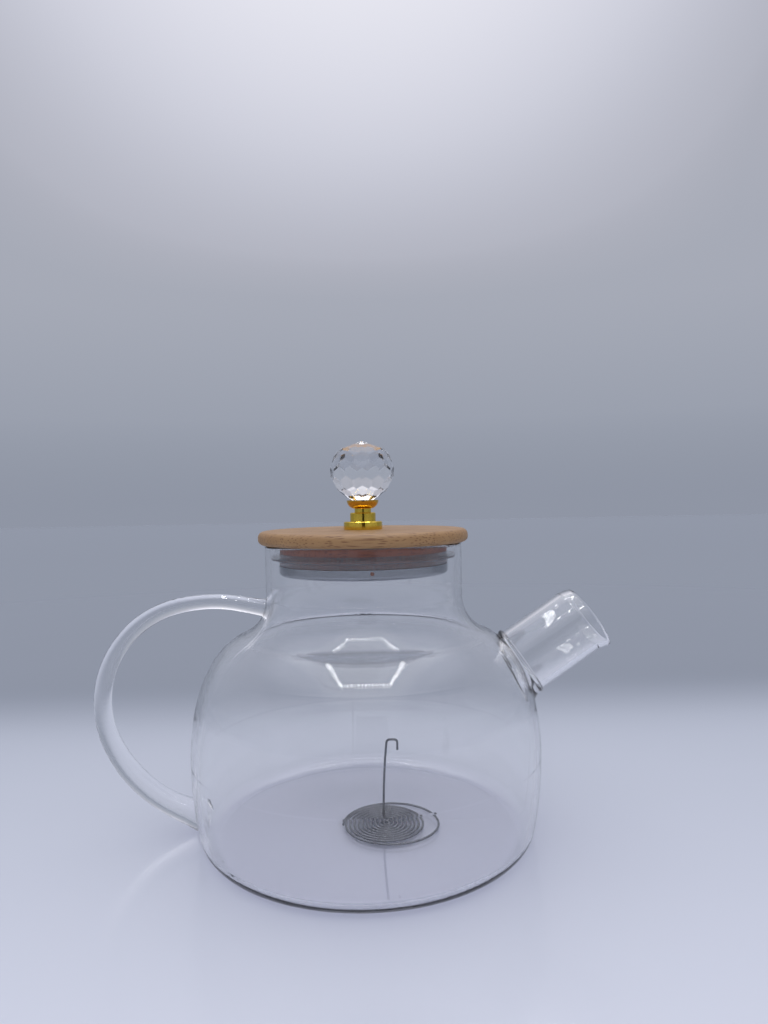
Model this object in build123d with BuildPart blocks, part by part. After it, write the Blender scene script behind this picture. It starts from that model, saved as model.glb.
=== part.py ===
from build123d import *
from math import cos, radians, sin
import os

# A blown glass teapot with a bamboo lid, a crystal knob and a loose coil filter of steel wire.
# Millimetres. The pot's axis is Z and it stands on Z = 0. The spout points to +X, the handle to -X.

# The blown pot. Its side is a chain of tangent arcs that start at the belly, where it is widest.
belly_radius = 70.0
neck_radius = 39.8
rim_height = 117.1
wall = 2.2
floor_thickness = 3.0
lower_side_radius = 140.0
heel_turn = 11.4
heel_radius = 8.0
upper_side_radius = 100.0
shoulder_radius = 53.0
brow_radius = 25.6
neck_root_radius = 16.0
upper_side_turn = 11.0
shoulder_turn = 31.3
brow_turn = 64.5
foot_ring_radius = 52.0
kick_height = 0.8
rim_rounding = 1.05

# The spout is a straight drawn tube, welded to a short collar on the shoulder.
spout_angle = 33.6
spout_weld_x = 63.0
spout_weld_z = 66.4
spout_length = 34.9
spout_radius = 13.75
spout_wall = 2.0
collar_radius = 14.1
collar_root_radius = 18.6
collar_depth = 9.0
weld_bead_radius = 1.0
lip_length = 5.0
lip_reach = 1.5
mouth_rounding = 0.85

# The handle is a drawn rod that thickens towards its lower end, with a flared weld at each end.
handle_top_x = -39.0
handle_top_z = 90.9
handle_top_run = 12.2
handle_top_heading = 169.45
handle_upper_bend = 61.4
handle_upper_turn = 23.1
handle_outer_bend = 39.9
handle_outer_turn = 101.9
handle_lower_bend = 54.5
handle_lower_turn = 42.1
handle_foot_run = 9.0
handle_top_radius = 3.1
handle_back_radius = 3.35
handle_turn_radius = 3.75
handle_low_radius = 4.25
handle_foot_radius = 4.9
top_weld_width = 6.8
top_weld_height = 7.4
foot_weld_width = 11.0
foot_weld_height = 12.0

# The bamboo lid rests on the rim. Parts of different bodies stay this far apart.
rest_gap = 0.1
seal_gap = 0.3
disc_radius = 42.4
disc_thickness = 5.2
disc_top_rounding = 2.4
disc_under_rounding = 2.0
plug_radius = 33.8
plug_depth = 11.75
screw_clearance_radius = 2.2

# A silicone ring lies in the plug's groove. Its thin lip seals against the neck.
groove_low = 109.2
groove_high = 113.7
groove_radius = 31.3
seal_band_radius = 34.1
seal_lip_low = 110.5
seal_lip_rise = 1.1
seal_lip_thickness = 0.7

# A pressed steel cap covers the plug's lower end, with a vent hole in its side.
cap_radius = 34.2
cap_height = 4.0
cap_sheet = 0.5
cap_edge_radius = 1.5
cap_screw_radius = 2.15
vent_radius = 0.7
vent_height = 2.7
vent_angle = -85.0

# The screw goes up through cap, plug and disc into the knob's base.
screw_radius = 2.0
screw_length = 25.0
screw_head_radius = 4.0
screw_head_height = 2.4
screw_head_rounding = 1.1
recess_length = 4.4
recess_width = 0.9
recess_depth = 1.4
washer_radius = 5.0
washer_thickness = 0.8

# The knob: a turned base, a dish and a cut crystal ball.
flange_radius = 7.9
flange_height = 3.3
step_radius = 5.25
step_height = 3.6
throat_radius = 3.4
throat_height = 1.6
turned_chamfer = 0.35
knob_bore_radius = 2.02
dish_foot_radius = 3.9
dish_radius = 6.5
dish_height = 3.4
dish_edge = 0.5
spigot_length = 1.6
ball_size = 30.0
seat_depth = 12.0
ball_lift = 0.05
# Each row of facets: how far its faces lean up, how far they are from the centre, where it starts.
facets_per_row = 12
facet_rows = (
    (70.0, 11.3, 0.0),
    (44.0, 12.4, 0.5),
    (20.0, 12.5, 0.0),
    (-4.0, 12.55, 0.5),
    (-28.0, 12.4, 0.0),
    (-52.0, 12.3, 0.5),
)

# The coil filter: one wire wound flat, with a loose last turn, and a stem that ends in a hook.
wire_radius = 0.45
coil_x = 7.3
coil_y = -5.0
coil_pitch = 1.7
coil_inner_radius = 1.1
coil_half_turns = 18
loose_reach = 21.0
loose_end_gap = 1.05
loose_flatness = 0.94
stem_bend = 1.2
stem_height = 31.2
stem_lean = 6.0
hook_bend = 1.3
hook_run = 1.8
hook_drop = 3.1

# Heights and places that follow from these.
belly_height = lower_side_radius * sin(radians(heel_turn)) + heel_radius * (1 - sin(radians(heel_turn)))
inner_heel_radius = heel_radius - (floor_thickness - wall * sin(radians(heel_turn))) / (
    1 - sin(radians(heel_turn))
)
disc_low = rim_height + rest_gap
disc_top = disc_low + disc_thickness
plug_low = disc_low - plug_depth
cap_low = plug_low - cap_sheet
washer_low = cap_low - washer_thickness
base_top = disc_top + flange_height + step_height + throat_height
dish_top = base_top + dish_height
ball_centre = dish_top + seat_depth + ball_lift
coil_height = floor_thickness + rest_gap + wire_radius
neck_inner_radius = neck_radius - wall

spout_plane = Plane(
    origin=(spout_weld_x, 0, spout_weld_z),
    x_dir=(-sin(radians(spout_angle)), 0, cos(radians(spout_angle))),
    z_dir=(cos(radians(spout_angle)), 0, sin(radians(spout_angle))),
)


def pot_outline(inset, lower_corner, bottom):
    """Draws half of the pot's form, out to its side moved inwards by inset, as a closed outline."""
    widest = (belly_radius - inset, belly_height)
    side = JernArc(widest, (0, -1), lower_side_radius - inset, -heel_turn)
    heel = JernArc(side @ 1, side % 1, lower_corner, heel_turn - 90)
    Line(heel @ 1, (0, bottom))
    upper = JernArc(widest, (0, 1), upper_side_radius - inset, upper_side_turn)
    shoulder = JernArc(upper @ 1, upper % 1, shoulder_radius - inset, shoulder_turn - upper_side_turn)
    brow = JernArc(shoulder @ 1, shoulder % 1, brow_radius - inset, brow_turn - shoulder_turn)
    root_start = neck_radius - inset + (neck_root_radius + inset) * (1 - cos(radians(brow_turn)))
    slope_length = ((brow @ 1).X - root_start) / sin(radians(brow_turn))
    slope = Line(brow @ 1, brow @ 1 + (brow % 1) * slope_length)
    root = JernArc(slope @ 1, slope % 1, neck_root_radius + inset, -brow_turn)
    neck = Line(root @ 1, ((root @ 1).X, rim_height))
    Line(neck @ 1, (0, rim_height))
    Line((0, rim_height), (0, bottom))


# The pot's outer form, solid. The welded parts are trimmed to it.
with BuildPart() as pot_form:
    with BuildSketch(Plane.XZ):
        with BuildLine():
            pot_outline(0, heel_radius, 0)
        make_face()
    revolve(axis=Axis.Z)

# The blown pot: the form, the spout's collar, hollowed, with its underside kicked up inside the foot.
with BuildPart() as pot_body:
    add(pot_form.part)
    with BuildSketch(spout_plane):
        Circle(collar_radius)
    with BuildSketch(spout_plane.offset(-collar_depth)):
        Circle(collar_root_radius)
    loft()
    with BuildSketch(Plane.XZ):
        with BuildLine():
            pot_outline(wall, inner_heel_radius, floor_thickness)
        make_face()
    revolve(axis=Axis.Z, mode=Mode.SUBTRACT)
    with BuildSketch(spout_plane):
        Circle(spout_radius - spout_wall)
    extrude(amount=2 * collar_depth, both=True, mode=Mode.SUBTRACT)
    with BuildSketch(Plane.XZ):
        with BuildLine():
            Spline((foot_ring_radius, 0), (0, kick_height), tangents=((-1, 0), (-1, 0)))
            Polyline((0, kick_height), (0, 0), (foot_ring_radius, 0))
        make_face()
    revolve(axis=Axis.Z, mode=Mode.SUBTRACT)
    fillet(pot_body.edges().group_by(Axis.Z)[-1], rim_rounding)

# The spout: a tube with a weld bead at its root and a mouth whose lower edge turns out into a lip.
with BuildPart() as pot_spout:
    mouth_plane = spout_plane.offset(spout_length)
    lip_plane = spout_plane.offset(spout_length - lip_length)
    with BuildSketch(spout_plane):
        Circle(spout_radius)
    extrude(amount=spout_length - lip_length)
    with BuildSketch(lip_plane):
        Circle(spout_radius)
    with BuildSketch(mouth_plane):
        with Locations((-lip_reach, 0)):
            Circle(spout_radius)
    loft()
    with BuildSketch(Plane(spout_plane.origin, x_dir=spout_plane.x_dir, z_dir=(0, 1, 0))):
        with Locations((spout_radius, weld_bead_radius)):
            Circle(weld_bead_radius)
    revolve(axis=Axis(spout_plane.origin, spout_plane.z_dir))
    with BuildSketch(spout_plane):
        Circle(spout_radius - spout_wall)
    extrude(amount=spout_length - lip_length, mode=Mode.SUBTRACT)
    with BuildSketch(lip_plane):
        Circle(spout_radius - spout_wall)
    with BuildSketch(mouth_plane):
        with Locations((-lip_reach, 0)):
            Circle(spout_radius - spout_wall)
    loft(mode=Mode.SUBTRACT)
    add(pot_form.part, mode=Mode.SUBTRACT)
    mouth_edges = pot_spout.edges().group_by(Axis(spout_plane.origin, spout_plane.z_dir))[-1]
    fillet(mouth_edges, mouth_rounding)

# The handle: a rod along tangent arcs, swept through its widths, with a flared weld at each end.
with BuildPart() as pot_handle:
    with BuildLine(Plane.XZ) as handle_line:
        top_run = PolarLine((handle_top_x, handle_top_z), handle_top_run, handle_top_heading)
        upper_bend = JernArc(top_run @ 1, top_run % 1, handle_upper_bend, handle_upper_turn)
        outer_bend = JernArc(upper_bend @ 1, upper_bend % 1, handle_outer_bend, handle_outer_turn)
        lower_bend = JernArc(outer_bend @ 1, outer_bend % 1, handle_lower_bend, handle_lower_turn)
        foot_run = Line(lower_bend @ 1, lower_bend @ 1 + (lower_bend % 1) * handle_foot_run)
    with BuildSketch(Plane(top_run @ 0, x_dir=(0, 1, 0), z_dir=top_run % 0)):
        Ellipse(top_weld_width / 2, top_weld_height / 2)
    for run, share, radius in (
        (top_run, 1, handle_top_radius),
        (upper_bend, 1, handle_top_radius),
        (outer_bend, 0.5, handle_back_radius),
        (outer_bend, 1, handle_turn_radius),
        (lower_bend, 0.5, handle_low_radius),
        (lower_bend, 1, handle_foot_radius),
    ):
        with BuildSketch(Plane(run @ share, x_dir=(0, 1, 0), z_dir=run % share)):
            Circle(radius)
    with BuildSketch(Plane(foot_run @ 1, x_dir=(0, 1, 0), z_dir=foot_run % 1)):
        Ellipse(foot_weld_width / 2, foot_weld_height / 2)
    sweep(path=handle_line.wires()[0], multisection=True)
    add(pot_form.part, mode=Mode.SUBTRACT)

# The lid's bamboo disc, bored for the knob's screw.
with BuildPart() as lid_disc:
    with BuildSketch(Plane.XY.offset(disc_low)):
        Circle(disc_radius)
        Circle(screw_clearance_radius, mode=Mode.SUBTRACT)
    extrude(amount=disc_thickness)
    fillet(lid_disc.edges().group_by(Axis.Z)[-1].sort_by(SortBy.RADIUS)[-1], disc_top_rounding)
    fillet(lid_disc.edges().group_by(Axis.Z)[0].sort_by(SortBy.RADIUS)[-1], disc_under_rounding)

# The plug under the disc, with the seal's groove and a lower end turned down to fit the steel cap.
with BuildPart() as lid_plug:
    with BuildSketch(Plane.XZ):
        with BuildLine():
            Polyline(
                (screw_clearance_radius, plug_low),
                (cap_radius - cap_sheet - cap_edge_radius, plug_low),
                (cap_radius - cap_sheet, plug_low + cap_edge_radius),
                (cap_radius - cap_sheet, cap_low + cap_height),
                (groove_radius, groove_low),
                (groove_radius, groove_high),
                (plug_radius, groove_high),
                (plug_radius, disc_low),
                (screw_clearance_radius, disc_low),
                close=True,
            )
        make_face()
    revolve(axis=Axis.Z)

# The silicone seal: a flat band with one thin lip that rises towards the neck.
with BuildPart() as lid_seal:
    lip_radius = neck_inner_radius - seal_gap
    with BuildSketch(Plane.XZ):
        with BuildLine():
            Polyline(
                (groove_radius, groove_low),
                (seal_band_radius, groove_low),
                (seal_band_radius, seal_lip_low),
                (lip_radius, seal_lip_low + seal_lip_rise),
                (lip_radius, seal_lip_low + seal_lip_rise + seal_lip_thickness),
                (seal_band_radius, seal_lip_low + 2 * seal_lip_thickness),
                (seal_band_radius, groove_high),
                (groove_radius, groove_high),
                close=True,
            )
        make_face()
    revolve(axis=Axis.Z)

# The pressed steel cap under the plug.
with BuildPart() as lid_under_cap:
    with BuildSketch(Plane.XY.offset(cap_low)):
        Circle(cap_radius)
    extrude(amount=cap_height)
    fillet(lid_under_cap.edges().sort_by(Axis.Z)[0], cap_edge_radius)
    cap_mouth = lid_under_cap.faces().sort_by(Axis.Z)[-1]
    offset(amount=-cap_sheet, openings=cap_mouth)
    with BuildSketch(Plane.XY.offset(cap_low)):
        Circle(cap_screw_radius)
    extrude(amount=cap_height, mode=Mode.SUBTRACT)
    vent_way = (cos(radians(vent_angle)), sin(radians(vent_angle)), 0)
    with BuildSketch(Plane((0, 0, cap_low + vent_height), z_dir=vent_way)):
        Circle(vent_radius)
    extrude(amount=cap_radius + cap_sheet, mode=Mode.SUBTRACT)

# The washer under the screw's head.
with BuildPart() as screw_washer:
    with BuildSketch(Plane.XY.offset(washer_low)):
        Circle(washer_radius)
        Circle(cap_screw_radius, mode=Mode.SUBTRACT)
    extrude(amount=washer_thickness)

# The pan head screw that holds the lid's parts and the knob together.
with BuildPart() as lid_screw:
    with BuildSketch(Plane.XY.offset(washer_low)):
        Circle(screw_head_radius)
    extrude(amount=-screw_head_height)
    fillet(lid_screw.edges().sort_by(Axis.Z)[0], screw_head_rounding)
    with BuildSketch(Plane.XY.offset(washer_low)):
        Circle(screw_radius)
    extrude(amount=screw_length)
    chamfer(lid_screw.edges().sort_by(Axis.Z)[-1], turned_chamfer)
    with BuildSketch(Plane.XY.offset(washer_low - screw_head_height)):
        Rectangle(recess_length, recess_width)
        Rectangle(recess_width, recess_length)
    extrude(amount=recess_depth, mode=Mode.SUBTRACT)

# The knob's turned base: flange, step and throat on one bore.
with BuildPart() as knob_base:
    with BuildSketch(Plane.XY.offset(disc_top)):
        Circle(flange_radius)
    extrude(amount=flange_height)
    chamfer(knob_base.edges().sort_by(Axis.Z)[-1], turned_chamfer)
    with BuildSketch(Plane.XY.offset(disc_top + flange_height)):
        Circle(step_radius)
    extrude(amount=step_height)
    chamfer(knob_base.edges().sort_by(Axis.Z)[-1], turned_chamfer)
    with BuildSketch(Plane.XY.offset(base_top - throat_height)):
        Circle(throat_radius)
    extrude(amount=throat_height)
    with BuildSketch(Plane.XY.offset(disc_top)):
        Circle(knob_bore_radius)
    extrude(amount=base_top - disc_top, mode=Mode.SUBTRACT)

# The dish that carries the ball, with a spigot down into the base.
with BuildPart() as knob_dish:
    with BuildSketch(Plane.XZ):
        with BuildLine():
            bowl = TangentArc(
                (dish_foot_radius, base_top), (dish_radius, dish_top - dish_edge), tangent=(1, 0.3)
            )
            Polyline(
                bowl @ 1,
                (dish_radius, dish_top),
                (0, dish_top),
                (0, base_top - spigot_length),
                (screw_radius, base_top - spigot_length),
                (screw_radius, base_top),
                bowl @ 0,
            )
        make_face()
    revolve(axis=Axis.Z)

# The crystal ball, cut from a block by rows of flat facets, with a flat seat on the dish.
with BuildPart() as crystal_ball:
    with Locations((0, 0, ball_centre)):
        Box(ball_size, ball_size, ball_size)
    for lean, distance, phase in facet_rows:
        for number in range(facets_per_row):
            turn = radians(360 / facets_per_row * (number + phase))
            outward = Vector(
                cos(radians(lean)) * cos(turn), cos(radians(lean)) * sin(turn), sin(radians(lean))
            )
            facet = Plane(Vector(0, 0, ball_centre) + outward * distance, z_dir=outward)
            split(bisect_by=facet, keep=Keep.BOTTOM)
    split(bisect_by=Plane.XY.offset(ball_centre - seat_depth), keep=Keep.TOP)

# The coil filter, swept along one line: the flat spiral, a bend, the stem and its hook.
with BuildPart() as coil_filter:
    foot_x = coil_x - coil_inner_radius
    with BuildLine(Plane.XY.offset(coil_height)):
        # Half turns pass in front of the centre on their way right, and behind it on their way left.
        here = foot_x
        spans = [2 * coil_inner_radius + coil_pitch * count for count in range(coil_half_turns)]
        spans.append(coil_x + loose_reach - (foot_x - coil_pitch * coil_half_turns / 2))
        spans.append(spans[-1] + loose_end_gap)
        for count, span in enumerate(spans):
            way = 1 if count % 2 == 0 else -1
            there = here + way * span
            if count < coil_half_turns:
                middle = ((here + there) / 2, coil_y - way * span / 2)
                ThreePointArc((here, coil_y), middle, (there, coil_y))
            else:
                EllipticalCenterArc(
                    ((here + there) / 2, coil_y),
                    span / 2,
                    loose_flatness * span / 2,
                    start_angle=90 + 90 * way,
                    arc_size=180,
                )
            here = there
    with BuildLine(Plane.YZ.offset(foot_x)):
        JernArc((coil_y, coil_height), (1, 0), stem_bend, 90)
    with BuildLine(Plane.XZ.offset(-coil_y - stem_bend)):
        stem = JernArc(
            (foot_x, coil_height + stem_bend), (0, 1), stem_height / sin(radians(stem_lean)), -stem_lean
        )
        near_bend = JernArc(stem @ 1, stem % 1, hook_bend, stem_lean - 90)
        run = Line(near_bend @ 1, near_bend @ 1 + (near_bend % 1) * hook_run)
        far_bend = JernArc(run @ 1, run % 1, hook_bend, -90)
        tip = Line(far_bend @ 1, far_bend @ 1 + (far_bend % 1) * hook_drop)
    with BuildSketch(Plane(tip @ 1, z_dir=tip % 1)):
        Circle(wire_radius)
    sweep()

pieces = {
    "pot_body": pot_body,
    "pot_spout": pot_spout,
    "pot_handle": pot_handle,
    "lid_disc": lid_disc,
    "lid_plug": lid_plug,
    "lid_seal": lid_seal,
    "lid_under_cap": lid_under_cap,
    "screw_washer": screw_washer,
    "lid_screw": lid_screw,
    "knob_base": knob_base,
    "knob_dish": knob_dish,
    "crystal_ball": crystal_ball,
    "coil_filter": coil_filter,
}
os.makedirs("parts", exist_ok=True)
for name, piece in pieces.items():
    piece.part.label = name
    export_step(piece.part, f"parts/{name}.step")
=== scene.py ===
import math

import bpy
from mathutils import Matrix

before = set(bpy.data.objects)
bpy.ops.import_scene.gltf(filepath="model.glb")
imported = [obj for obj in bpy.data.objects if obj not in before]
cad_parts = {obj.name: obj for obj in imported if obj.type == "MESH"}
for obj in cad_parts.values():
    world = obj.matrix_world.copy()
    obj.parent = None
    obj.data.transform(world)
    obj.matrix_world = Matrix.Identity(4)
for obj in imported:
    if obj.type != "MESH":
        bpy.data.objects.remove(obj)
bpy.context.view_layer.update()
MM = 0.001

# The studio, in metres from the pot's foot.
TABLE_DROP = 0.15 * MM
LAMP_HEIGHT = 0.42
LAMP_RING_MIDDLE_Y = -0.05
LAMP_RING_HALF_DEPTH = 0.16
LAMP_RING_HALF_WIDTH = 0.094
BEADS_PER_ROW, ROW_PITCH, ROW_BEAD = 15, 13.4 * MM, (4 * MM, 26 * MM)
BEADS_PER_SIDE, SIDE_PITCH, SIDE_BEAD = 22, 13.9 * MM, (12 * MM, 6 * MM)
SIDE_START_Y = -0.196
BEAD_STRENGTH = 22.0
CARD_PLACE, CARD_SIZE = (0.02, -0.36, 0.17), (120 * MM, 170 * MM)

# The camera, which stands in front of the pot level with the knob: its place, its turns and its lens.
CAMERA_PLACE = (0, -0.28996, 0.13471)
CAMERA_PITCH, CAMERA_YAW, CAMERA_ROLL = (math.radians(turn) for turn in (-1.07, 1.71, -1.03))
LENS_MM, SENSOR_MM, NEAREST_SEEN = 24.96, 36, 0.01

# Light crosses many walls of glass here: with fewer bounces than this, deep facets turn black.
GLASS_BOUNCES = 28


def linear(hex_colour):
    """An sRGB hex colour as the linear RGBA that shaders take."""
    parts = [int(hex_colour[i:i + 2], 16) / 255 for i in (1, 3, 5)]
    return [p / 12.92 if p <= 0.04045 else ((p + 0.055) / 1.055) ** 2.4 for p in parts] + [1]


def per(size_mm):
    """The texture scale at which a pattern repeats every size_mm millimetres."""
    return 1 / (size_mm * MM)


def add(tree, kind, settings, links=None):
    """Adds a node. A setting goes on its socket of that name or number, or else on the node itself."""
    node = tree.nodes.new(kind)
    for name, value in settings.items():
        if isinstance(name, str) and hasattr(node, name):
            setattr(node, name, value)
        else:
            node.inputs[name].default_value = value
    for socket, (source, output) in (links or {}).items():
        tree.links.new(source.outputs[output], node.inputs[socket])
    return node


def shade(ramp, tones):
    """Fills a colour ramp, smoothly blended, from (place, hex colour) pairs that start at 0 and end at 1."""
    ramp.interpolation = "B_SPLINE"
    for place, tone in tones:
        stop = {0.0: ramp.elements[0], 1.0: ramp.elements[-1]}.get(place) or ramp.elements.new(place)
        stop.color = linear(tone)


def finish_of(name):
    """A new material, its node tree and its output, which is all that the tree holds."""
    made = bpy.data.materials.new(name)
    made.use_nodes = True
    made.node_tree.nodes.clear()
    return made, made.node_tree, add(made.node_tree, "ShaderNodeOutputMaterial", {})


def blown_borosilicate():
    """Clear lamp-worked borosilicate: hard bright reflections over slow ripples left by blowing."""
    made, tree, out = finish_of("blown_borosilicate")
    place = add(tree, "ShaderNodeTexCoord", {})
    ripple = add(tree, "ShaderNodeTexNoise", {"Scale": per(28), "Detail": 1.0},
                 {"Vector": (place, "Object")})
    film = add(tree, "ShaderNodeTexNoise", {"Scale": per(9), "Detail": 4.0}, {"Vector": (place, "Object")})
    smear = add(tree, "ShaderNodeMapRange",
                {"From Min": 0.45, "From Max": 0.8, "To Min": 0.0, "To Max": 0.012},
                {"Value": (film, "Fac")})
    wave = add(tree, "ShaderNodeBump", {"Strength": 0.1, "Distance": 0.12 * MM}, {"Height": (ripple, "Fac")})
    glass = add(tree, "ShaderNodeBsdfPrincipled",
                {"Base Color": linear("#FFFFFF"), "IOR": 1.47, "Transmission Weight": 1.0},
                {"Roughness": (smear, "Result"), "Normal": (wave, "Normal")})
    # Light that the table and the lid scatter goes straight through the thin walls and loses little.
    ray = add(tree, "ShaderNodeLightPath", {})
    clear = add(tree, "ShaderNodeBsdfTransparent", {"Color": linear("#F9F9FC")})
    both = add(tree, "ShaderNodeMixShader", {},
               {0: (ray, "Is Diffuse Ray"), 1: (glass, "BSDF"), 2: (clear, "BSDF")})
    tree.links.new(both.outputs["Shader"], out.inputs["Surface"])
    return made


def cut_crystal():
    """Polished cut crystal: flat facets that flash, softened by a thin haze from wiping."""
    made, tree, out = finish_of("cut_crystal")
    place = add(tree, "ShaderNodeTexCoord", {})
    haze = add(tree, "ShaderNodeTexNoise", {"Scale": per(3), "Detail": 3.0}, {"Vector": (place, "Object")})
    rough = add(tree, "ShaderNodeMapRange",
                {"From Min": 0.4, "From Max": 0.8, "To Min": 0.06, "To Max": 0.12},
                {"Value": (haze, "Fac")})
    glass = add(tree, "ShaderNodeBsdfPrincipled",
                {"Base Color": linear("#FFFFFF"), "IOR": 1.46, "Transmission Weight": 1.0},
                {"Roughness": (rough, "Result")})
    tree.links.new(glass.outputs["BSDF"], out.inputs["Surface"])
    return made


def bamboo(name, pale, brown, fibre):
    """Pressed bamboo: long dark fibre bundles along X, which show as speckles where an edge cuts them."""
    made, tree, out = finish_of(name)
    place = add(tree, "ShaderNodeTexCoord", {})
    along = add(tree, "ShaderNodeMapping", {"Scale": (0.05, 1.0, 1.0)}, {"Vector": (place, "Object")})
    tone = add(tree, "ShaderNodeTexNoise", {"Scale": per(4), "Detail": 6.0, "Roughness": 0.6},
               {"Vector": (along, "Vector")})
    bundle = add(tree, "ShaderNodeTexVoronoi", {"Scale": per(0.75), "Randomness": 0.8},
                 {"Vector": (along, "Vector")})
    dot = add(tree, "ShaderNodeMapRange", {"From Min": 0.2, "From Max": 0.42, "To Min": 0.75, "To Max": 0.0},
              {"Value": (bundle, "Distance")})
    ground = add(tree, "ShaderNodeMix", {"data_type": "RGBA", 6: linear(pale), 7: linear(brown)},
                 {0: (tone, "Fac")})
    colour = add(tree, "ShaderNodeMix", {"data_type": "RGBA", 7: linear(fibre)},
                 {0: (dot, "Result"), 6: (ground, 2)})
    rough = add(tree, "ShaderNodeMapRange", {"To Min": 0.42, "To Max": 0.62}, {"Value": (tone, "Fac")})
    relief = add(tree, "ShaderNodeBump", {"Strength": 0.4, "Distance": 0.05 * MM},
                 {"Height": (dot, "Result")})
    wood = add(tree, "ShaderNodeBsdfPrincipled", {"IOR": 1.48},
               {"Base Color": (colour, 2), "Roughness": (rough, "Result"), "Normal": (relief, "Normal")})
    tree.links.new(wood.outputs["BSDF"], out.inputs["Surface"])
    return made


def moulded_silicone():
    """Translucent white silicone: a milky satin band that the brown plug shows through."""
    made, tree, out = finish_of("moulded_silicone")
    place = add(tree, "ShaderNodeTexCoord", {})
    skin = add(tree, "ShaderNodeTexNoise", {"Scale": per(0.5), "Detail": 3.0}, {"Vector": (place, "Object")})
    rough = add(tree, "ShaderNodeMapRange", {"To Min": 0.12, "To Max": 0.24}, {"Value": (skin, "Fac")})
    relief = add(tree, "ShaderNodeBump", {"Strength": 0.2, "Distance": 0.02 * MM}, {"Height": (skin, "Fac")})
    rubber = add(tree, "ShaderNodeBsdfPrincipled",
                 {"Base Color": linear("#EEF1F5"), "IOR": 1.41, "Transmission Weight": 0.9},
                 {"Roughness": (rough, "Result"), "Normal": (relief, "Normal")})
    tree.links.new(rubber.outputs["BSDF"], out.inputs["Surface"])
    return made


def plated(name, colour, low, high, grain_mm, stretch):
    """A polished metal: smooth bright reflections, softened by marks grain_mm wide from its polishing.

    An axis with a stretch below 1 draws the marks out along it.
    """
    made, tree, out = finish_of(name)
    place = add(tree, "ShaderNodeTexCoord", {})
    lie = add(tree, "ShaderNodeMapping", {"Scale": stretch}, {"Vector": (place, "Object")})
    marks = add(tree, "ShaderNodeTexNoise", {"Scale": per(grain_mm), "Detail": 5.0},
                {"Vector": (lie, "Vector")})
    rough = add(tree, "ShaderNodeMapRange",
                {"From Min": 0.3, "From Max": 0.75, "To Min": low, "To Max": high},
                {"Value": (marks, "Fac")})
    relief = add(tree, "ShaderNodeBump", {"Strength": 0.1, "Distance": 0.01 * MM},
                 {"Height": (marks, "Fac")})
    metal = add(tree, "ShaderNodeBsdfPrincipled", {"Base Color": linear(colour), "Metallic": 1.0},
                {"Roughness": (rough, "Result"), "Normal": (relief, "Normal")})
    tree.links.new(metal.outputs["BSDF"], out.inputs["Surface"])
    return made


glass = blown_borosilicate()
finishes = {
    "pot_body": glass, "pot_spout": glass, "pot_handle": glass,
    "lid_disc": bamboo("light_bamboo", "#B48F62", "#9B744A", "#70492B"),
    "lid_plug": bamboo("carbonised_bamboo", "#B4683E", "#94482A", "#5A2A16"),
    "lid_seal": moulded_silicone(),
    "lid_under_cap": plated("pressed_stainless", "#878B91", 0.1, 0.26, 0.5, (1, 1, 1)),
    "screw_washer": plated("turned_steel", "#B4B7BC", 0.2, 0.4, 0.3, (1, 1, 0.1)),
    "knob_base": plated("gold_plating", "#E3C04A", 0.06, 0.16, 0.8, (1, 1, 0.2)),
    "knob_dish": plated("warm_gold_plating", "#E3B34A", 0.06, 0.16, 0.8, (1, 1, 0.2)),
    "crystal_ball": cut_crystal(),
    "coil_filter": plated("drawn_wire", "#797B80", 0.16, 0.32, 0.6, (1, 1, 1)),
}
finishes["lid_screw"] = finishes["screw_washer"]
for name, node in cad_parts.items():
    node.data.materials.clear()
    node.data.materials.append(finishes[name])


def table():
    """A pale sheet that turns grey-blue towards the back and mirrors the tent a little."""
    bpy.ops.object.select_all(action="DESELECT")
    bpy.ops.mesh.primitive_plane_add(size=8, location=(0, 0, -TABLE_DROP))
    sheet = bpy.context.object
    sheet.name = "table"
    made, tree, out = finish_of("table_sheet")
    place = add(tree, "ShaderNodeTexCoord", {})
    axes = add(tree, "ShaderNodeSeparateXYZ", {}, {"Vector": (place, "Object")})
    back = add(tree, "ShaderNodeMapRange", {"From Min": -0.2, "From Max": 0.25}, {"Value": (axes, "Y")})
    tone = add(tree, "ShaderNodeValToRGB", {}, {"Fac": (back, "Result")})
    shade(tone.color_ramp, ((0.0, "#E0E3EA"), (0.3, "#CFD3DC"), (0.55, "#C4C9D2"), (0.72, "#C0C5CF"),
                            (0.88, "#8A919C"), (1.0, "#888F99")))
    cloth = add(tree, "ShaderNodeBsdfPrincipled", {"Roughness": 0.16, "IOR": 1.45},
                {"Base Color": (tone, "Color")})
    tree.links.new(cloth.outputs["BSDF"], out.inputs["Surface"])
    sheet.data.materials.append(made)


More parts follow.
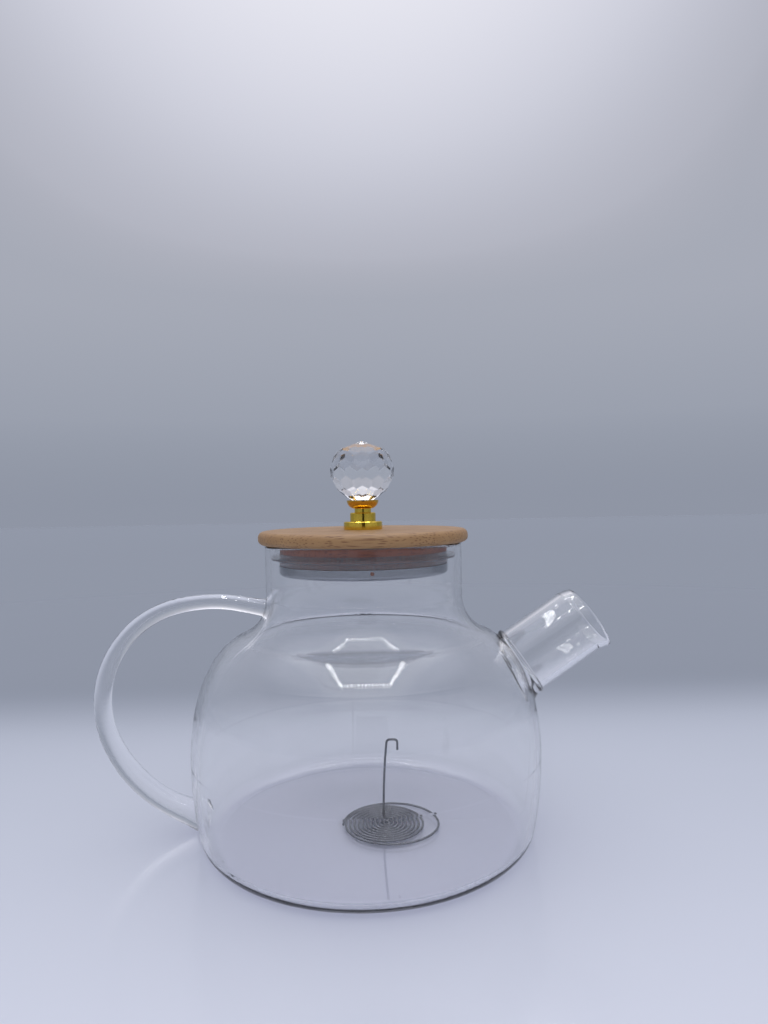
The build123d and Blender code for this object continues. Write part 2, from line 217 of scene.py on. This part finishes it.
def tent():
    """The world is the light: a tent with grey walls that pale upwards and a bright roof."""
    world = bpy.data.worlds.new("tent")
    bpy.context.scene.world = world
    world.use_nodes = True
    tree = world.node_tree
    tree.nodes.clear()
    out = add(tree, "ShaderNodeOutputWorld", {})
    place = add(tree, "ShaderNodeTexCoord", {})
    axes = add(tree, "ShaderNodeSeparateXYZ", {}, {"Vector": (place, "Generated")})
    # The side walls are darker than the back wall, and more so the higher they go.
    aside = add(tree, "ShaderNodeMath", {"operation": "MULTIPLY"}, {0: (axes, "X"), 1: (axes, "X")})
    aside = add(tree, "ShaderNodeMath", {"operation": "MINIMUM", 1: 0.2}, {0: (aside, 0)})
    high = add(tree, "ShaderNodeMapRange", {"From Min": 0.25, "From Max": 1.0, "To Max": 2.7},
               {"Value": (axes, "Z")})
    fall = add(tree, "ShaderNodeMath", {"operation": "MULTIPLY"}, {0: (aside, 0), 1: (high, 0)})
    level = add(tree, "ShaderNodeMath", {"operation": "SUBTRACT"}, {0: (axes, "Z"), 1: (fall, 0)})
    walls = add(tree, "ShaderNodeValToRGB", {}, {"Fac": (level, 0)})
    shade(walls.color_ramp, ((0.0, "#8F95A4"), (0.05, "#9298A6"), (0.11, "#999FAD"), (0.27, "#A8ACB8"),
                             (0.319, "#AEB0BC"), (0.438, "#CDCFDC"), (0.574, "#E7E7F1"), (1.0, "#F4F4FA")))
    roof = add(tree, "ShaderNodeMapRange",
               {"interpolation_type": "SMOOTHSTEP", "From Min": 0.6, "From Max": 0.85,
                "To Min": 1.0, "To Max": 1.9},
               {"Value": (axes, "Z")})
    light = add(tree, "ShaderNodeBackground", {}, {"Color": (walls, "Color"), "Strength": (roof, "Result")})
    tree.links.new(light.outputs["Background"], out.inputs["Surface"])


def hide(shown, *rays):
    """Stages a studio piece that the given kinds of ray pass by."""
    for ray in rays:
        setattr(shown, "visible_" + ray, False)


def lamp_bead_ring():
    """A ring of lamp beads in the roof that only reflections show: rows along X, sides along Y."""
    glow, tree, out = finish_of("lamp_beads")
    shine = add(tree, "ShaderNodeEmission", {"Color": linear("#FFFFFF"), "Strength": BEAD_STRENGTH})
    tree.links.new(shine.outputs["Emission"], out.inputs["Surface"])
    beads = []
    for bead in range(BEADS_PER_ROW):
        for side in (-1, 1):
            beads.append((-LAMP_RING_HALF_WIDTH + ROW_PITCH * bead,
                          LAMP_RING_MIDDLE_Y + LAMP_RING_HALF_DEPTH * side, ROW_BEAD))
    for bead in range(BEADS_PER_SIDE):
        for side in (-1, 1):
            beads.append((LAMP_RING_HALF_WIDTH * side, SIDE_START_Y + SIDE_PITCH * bead, SIDE_BEAD))
    bpy.ops.object.select_all(action="DESELECT")
    made = []
    for x, y, size in beads:
        bpy.ops.mesh.primitive_plane_add(size=1, location=(x, y, LAMP_HEIGHT), rotation=(math.pi, 0, 0))
        bpy.context.object.scale = (*size, 1)
        made.append(bpy.context.object)
    for bead in made:
        bead.select_set(True)
    bpy.ops.object.join()
    lamps = bpy.context.object
    lamps.name = "lamp_bead_ring"
    lamps.data.materials.append(glow)
    hide(lamps, "camera", "diffuse", "shadow")


def black_card():
    """A matt card in front of the pot, which gives the gold its dark stripe."""
    matt, tree, out = finish_of("black_card")
    paper = add(tree, "ShaderNodeBsdfPrincipled", {"Base Color": linear("#15161A"), "Roughness": 0.8})
    tree.links.new(paper.outputs["BSDF"], out.inputs["Surface"])
    bpy.ops.mesh.primitive_plane_add(size=1, location=CARD_PLACE, rotation=(math.pi / 2, 0, 0))
    card = bpy.context.object
    card.name = "black_card"
    card.scale = (*CARD_SIZE, 1)
    card.data.materials.append(matt)
    hide(card, "camera", "diffuse", "shadow", "transmission")


def camera():
    """Aims the camera at the pot along +Y and makes it the one that takes the picture."""
    lens = bpy.data.cameras.new("view")
    lens.lens, lens.sensor_width, lens.clip_start = LENS_MM, SENSOR_MM, NEAREST_SEEN
    view = bpy.data.objects.new("view", lens)
    view.matrix_world = (Matrix.Translation(CAMERA_PLACE) @ Matrix.Rotation(-CAMERA_YAW, 4, "Z")
                         @ Matrix.Rotation(math.pi / 2 + CAMERA_PITCH, 4, "X")
                         @ Matrix.Rotation(CAMERA_ROLL, 4, "Z"))
    bpy.context.scene.collection.objects.link(view)
    bpy.context.scene.camera = view


table()
tent()
lamp_bead_ring()
black_card()
camera()
scene = bpy.context.scene
scene.view_settings.view_transform = "Standard"
scene.cycles.max_bounces = scene.cycles.transmission_bounces = GLASS_BOUNCES
